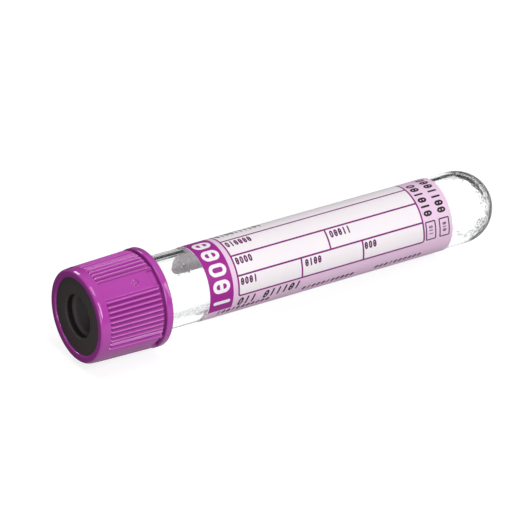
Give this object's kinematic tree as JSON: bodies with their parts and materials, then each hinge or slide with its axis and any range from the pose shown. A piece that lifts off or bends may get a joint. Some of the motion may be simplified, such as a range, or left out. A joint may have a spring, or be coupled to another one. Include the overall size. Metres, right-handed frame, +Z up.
{
  "type": "blood collection tube",
  "caption": "Clear round-bottom evacuated blood collection tube lying on its side, with a ribbed purple twist-off safety closure and a wrap-round label.",
  "frame": {"origin": "middle of the bounding box's underside, on the surface that the tube lies on", "axes": "+X along the tube towards its round bottom, the closure at -X, +Z up. The tube's own axis is in the XZ plane and rises 2.1 degrees towards the closure, because the collar is wider than the tube."},
  "size_m": [0.081, 0.0168, 0.0169],
  "materials": {
    "clear_polyester": "clear gloss",
    "label_film": "satin film",
    "stopper_rubber": "matt rubber",
    "purple_polyethylene": "gloss moulded",
    "black_plastic": "fine matt"
  },
  "bodies": {
    "tube": {"tube": "clear_polyester", "label": "label_film"},
    "stopper": {"stopper": "stopper_rubber"},
    "cap": {"cap_shell": "purple_polyethylene", "retaining_ring": "black_plastic"}
  },
  "joints": [
    {"name": "closure_lift", "type": "slide", "parent": "tube", "child": "stopper", "axis": [-0.9993, 0, 0.0366], "range_m": [0, 0.014]},
    {"name": "cap_twist", "type": "hinge", "parent": "stopper", "child": "cap", "pos_m": [-0.03994, 0, 0.00887], "axis": [-0.9993, 0, 0.0366], "range_deg": [0, 253]}
  ],
  "couplings": [
    {"joint": "cap_twist", "follows": "closure_lift", "rad_per_m": 314.16}
  ]
}
